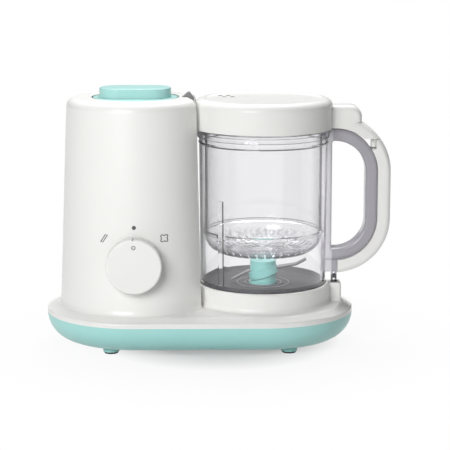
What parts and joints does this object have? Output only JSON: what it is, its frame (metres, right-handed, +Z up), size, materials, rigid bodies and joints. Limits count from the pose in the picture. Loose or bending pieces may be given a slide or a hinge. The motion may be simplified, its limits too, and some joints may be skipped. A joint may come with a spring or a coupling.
{
  "type": "baby food steamer and blender",
  "caption": "Countertop baby food steamer and blender: round water tower with a knob beside a clear lidded jar with a handle, on an oval base.",
  "frame": {"origin": "centre of the object's overall footprint, on the table under the foot pads", "axes": "+X from the tower towards the jar's handle, +Y towards the back, +Z up"},
  "size_m": [0.3, 0.157, 0.2243],
  "materials": {
    "mint_plastic": "satin moulded plastic",
    "white_plastic": "smooth moulded plastic",
    "clear_plastic": "clear polished plastic",
    "smoke_plastic": "translucent grey plastic",
    "dark_plastic": "dark moulded plastic",
    "grey_silicone": "soft silicone",
    "black_rubber": "matte rubber",
    "steel": "ground steel",
    "aluminium": "drawn sheet",
    "brass": "turned",
    "board_green": "printed circuit board"
  },
  "bodies": {
    "base_unit": {"base_shell": "mint_plastic", "foot_pads": "black_rubber", "main_housing": "white_plastic", "base_screws": "steel", "cord_gland": "black_rubber", "boiler_tank": "aluminium", "tank_gasket": "grey_silicone", "filler_ring": "white_plastic", "heater_plate": "aluminium", "thermostat": "dark_plastic", "steam_tube": "grey_silicone", "steam_nozzle": "grey_silicone", "rotary_switch": "dark_plastic", "switch_nut": "brass", "motor_can": "steel", "motor_bushes": "brass", "motor_bracket": "steel", "motor_screws": "steel", "drive_belt": "black_rubber", "drive_bearings": "steel", "shaft_seal": "black_rubber", "control_board": "board_green", "interlock_switch": "dark_plastic"},
    "interlock": {"interlock_button": "dark_plastic"},
    "knob": {"control_knob": "white_plastic", "knob_shaft": "steel"},
    "cap_seal": {"tank_cap_seal": "grey_silicone"},
    "cap": {"tank_cap": "mint_plastic"},
    "motor": {"motor_rotor": "steel", "motor_pulley": "dark_plastic"},
    "drive": {"drive_spindle": "steel", "drive_pulley": "dark_plastic", "spindle_clip": "steel", "drive_coupling": "dark_plastic"},
    "jar": {"jar_body": "clear_plastic", "handle_frame": "smoke_plastic", "handle_cover": "white_plastic", "blade_base": "dark_plastic", "blade_base_seal": "grey_silicone", "blade_lock_ring": "dark_plastic", "blade_bush": "brass"},
    "blade": {"blade_hub": "mint_plastic", "blade_plate": "steel", "blade_spindle": "steel", "driven_coupling": "dark_plastic"},
    "basket": {"steam_basket": "clear_plastic"},
    "lid_seal": {"lid_seal": "grey_silicone"},
    "lid": {"jar_lid": "white_plastic"}
  },
  "joints": [
    {"name": "knob_turn", "type": "hinge", "parent": "base_unit", "child": "knob", "pos_m": [-0.07155, -0.07, 0.0813], "axis": [0, -1, 0], "range_deg": [-50, 50]},
    {"name": "interlock_press", "type": "slide", "parent": "base_unit", "child": "interlock", "axis": [0, 0, -1], "range_m": [0, 0.0025], "stiffness_N_per_m": 400, "springref_m": -0.001},
    {"name": "cap_lift", "type": "slide", "parent": "base_unit", "child": "cap_seal", "axis": [0, 0, 1], "range_m": [0, 0.06]},
    {"name": "cap_turn", "type": "hinge", "parent": "cap_seal", "child": "cap", "pos_m": [-0.07155, 0, 0.215], "axis": [0, 0, 1], "range_deg": [0, 90]},
    {"name": "jar_lift", "type": "slide", "parent": "base_unit", "child": "jar", "axis": [0, 0, 1], "range_m": [0, 0.19]},
    {"name": "lid_lift", "type": "slide", "parent": "jar", "child": "lid_seal", "axis": [0, 0, 1], "range_m": [0, 0.16]},
    {"name": "lid_turn", "type": "hinge", "parent": "lid_seal", "child": "lid", "pos_m": [0.03945, 0, 0.2], "axis": [0, 0, 1], "range_deg": [0, 30]},
    {"name": "basket_lift", "type": "slide", "parent": "jar", "child": "basket", "axis": [0, 0, 1], "range_m": [0, 0.12]},
    {"name": "motor_spin", "type": "hinge", "parent": "base_unit", "child": "motor", "pos_m": [-0.07155, 0, 0.05], "axis": [0, 0, 1], "continuous": true},
    {"name": "drive_spin", "type": "hinge", "parent": "base_unit", "child": "drive", "pos_m": [0.03945, 0, 0.03], "axis": [0, 0, 1], "continuous": true},
    {"name": "blade_spin", "type": "hinge", "parent": "jar", "child": "blade", "pos_m": [0.03945, 0, 0.055], "axis": [0, 0, 1], "continuous": true}
  ],
  "couplings": [
    {"joint": "basket_lift", "follows": "lid_lift", "ratio": 0.75},
    {"joint": "drive_spin", "follows": "motor_spin", "ratio": 0.52494},
    {"joint": "blade_spin", "follows": "motor_spin", "ratio": 0.52494}
  ]
}
